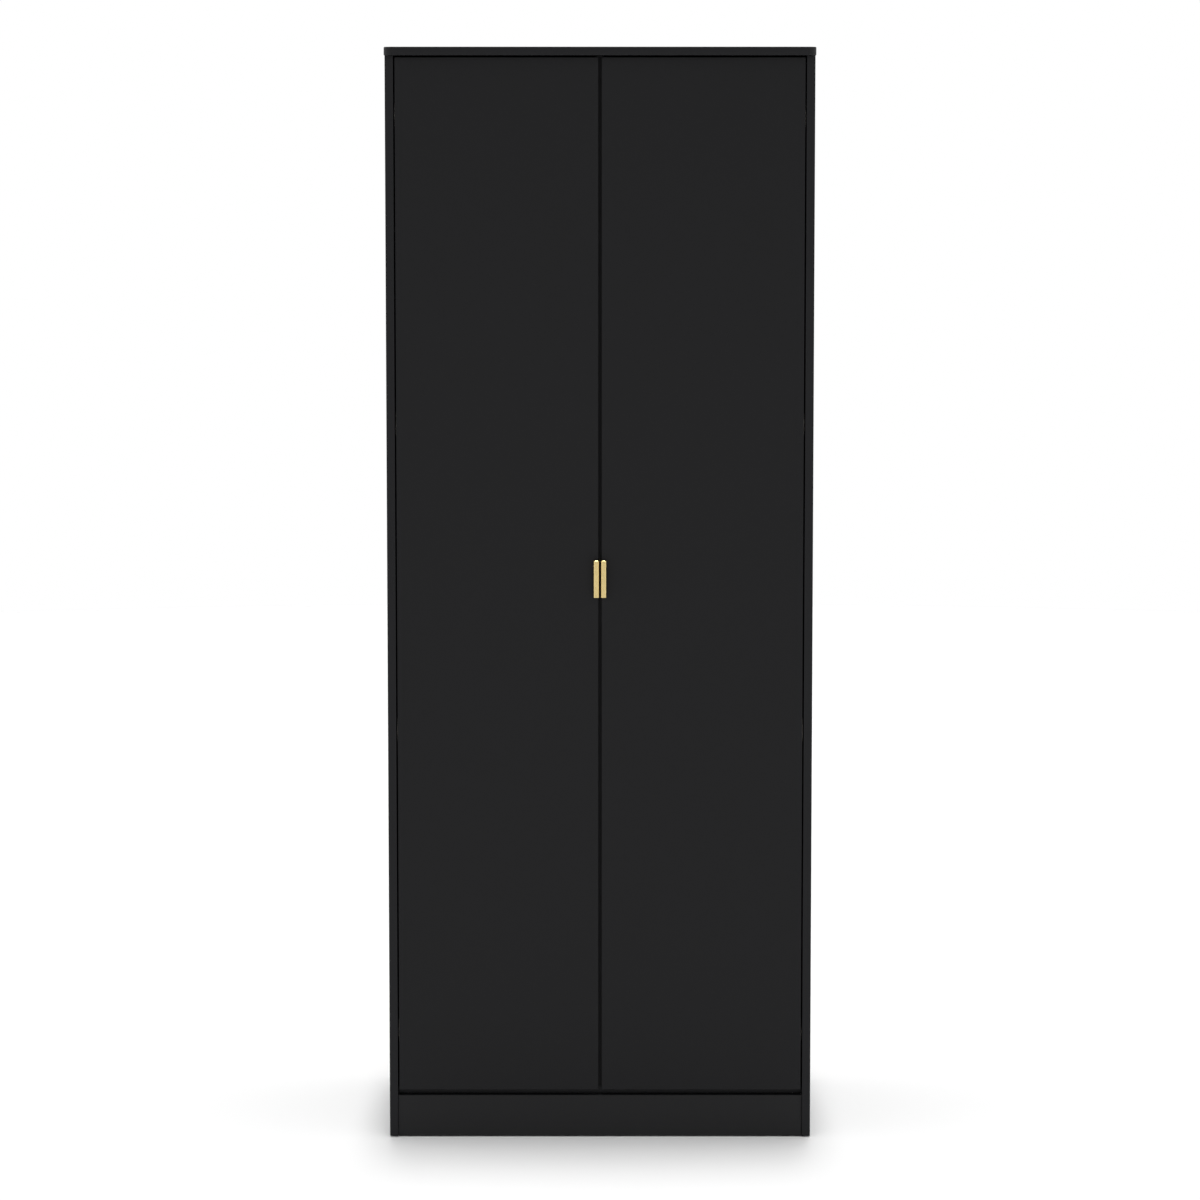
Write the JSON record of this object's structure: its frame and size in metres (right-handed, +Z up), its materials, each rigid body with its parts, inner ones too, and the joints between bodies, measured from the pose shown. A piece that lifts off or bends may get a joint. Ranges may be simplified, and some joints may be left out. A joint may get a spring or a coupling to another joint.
{
  "type": "wardrobe with doors",
  "caption": "Tall narrow wardrobe with flat hinged doors, small metal edge pulls, a plinth, a divider, a hanging rail and shelves.",
  "frame": {"origin": "on the floor, at the centre of the wardrobe's overall plan", "axes": "+Z up, -Y towards the person at the doors, +X to that person's right"},
  "size_m": [0.768, 0.53, 1.97],
  "materials": {
    "board": "matte black melamine",
    "hardboard": "raw hardboard",
    "pull_metal": "brushed pale gold",
    "nickel": "nickel-plated",
    "rail_chrome": "bright",
    "glide_plastic": "moulded",
    "buffer_plastic": "soft clear",
    "dowel_beech": "fluted beech"
  },
  "bodies": {
    "carcass": {"side_panel_left": "board", "side_panel_right": "board", "top_panel": "board", "base_panel": "board", "centre_divider": "board", "front_plinth": "board", "rear_plinth": "board", "hat_shelf_left": "board", "hat_shelf_right": "board", "adjustable_shelf_1": "board", "adjustable_shelf_2": "board", "adjustable_shelf_3": "board", "adjustable_shelf_4": "board", "back_panel": "hardboard", "wall_bracket_left": "nickel", "wall_bracket_right": "nickel", "wall_bracket_screws": "nickel", "rail_socket_outer": "nickel", "rail_socket_inner": "nickel", "rail_socket_screws": "nickel", "shelf_pins": "nickel", "back_panel_pins": "nickel", "left_hinge_plates": "nickel", "left_plate_screws": "nickel", "left_arm_screws": "nickel", "right_hinge_plates": "nickel", "right_plate_screws": "nickel", "right_arm_screws": "nickel", "left_hinge_arm_1": "nickel", "left_hinge_arm_2": "nickel", "left_hinge_arm_3": "nickel", "left_hinge_arm_4": "nickel", "right_hinge_arm_1": "nickel", "right_hinge_arm_2": "nickel", "right_hinge_arm_3": "nickel", "right_hinge_arm_4": "nickel", "hanging_rail": "rail_chrome", "floor_glides": "glide_plastic", "carcass_dowels": "dowel_beech"},
    "left_door": {"left_door_panel": "board", "left_pull": "pull_metal", "left_pull_screws": "nickel", "left_door_buffers": "buffer_plastic", "left_cup_screws": "nickel", "left_hinge_pins": "nickel", "left_hinge_cup_1": "nickel", "left_hinge_cup_2": "nickel", "left_hinge_cup_3": "nickel", "left_hinge_cup_4": "nickel"},
    "right_door": {"right_door_panel": "board", "right_pull": "pull_metal", "right_pull_screws": "nickel", "right_door_buffers": "buffer_plastic", "right_cup_screws": "nickel", "right_hinge_pins": "nickel", "right_hinge_cup_1": "nickel", "right_hinge_cup_2": "nickel", "right_hinge_cup_3": "nickel", "right_hinge_cup_4": "nickel"}
  },
  "joints": [
    {"name": "left_door_hinge", "type": "hinge", "parent": "carcass", "child": "left_door", "pos_m": [-0.3571, -0.2408, 1.0198], "axis": [0, 0, -1], "range_deg": [0, 95]},
    {"name": "right_door_hinge", "type": "hinge", "parent": "carcass", "child": "right_door", "pos_m": [0.3571, -0.2408, 1.0198], "axis": [0, 0, 1], "range_deg": [0, 95]}
  ]
}
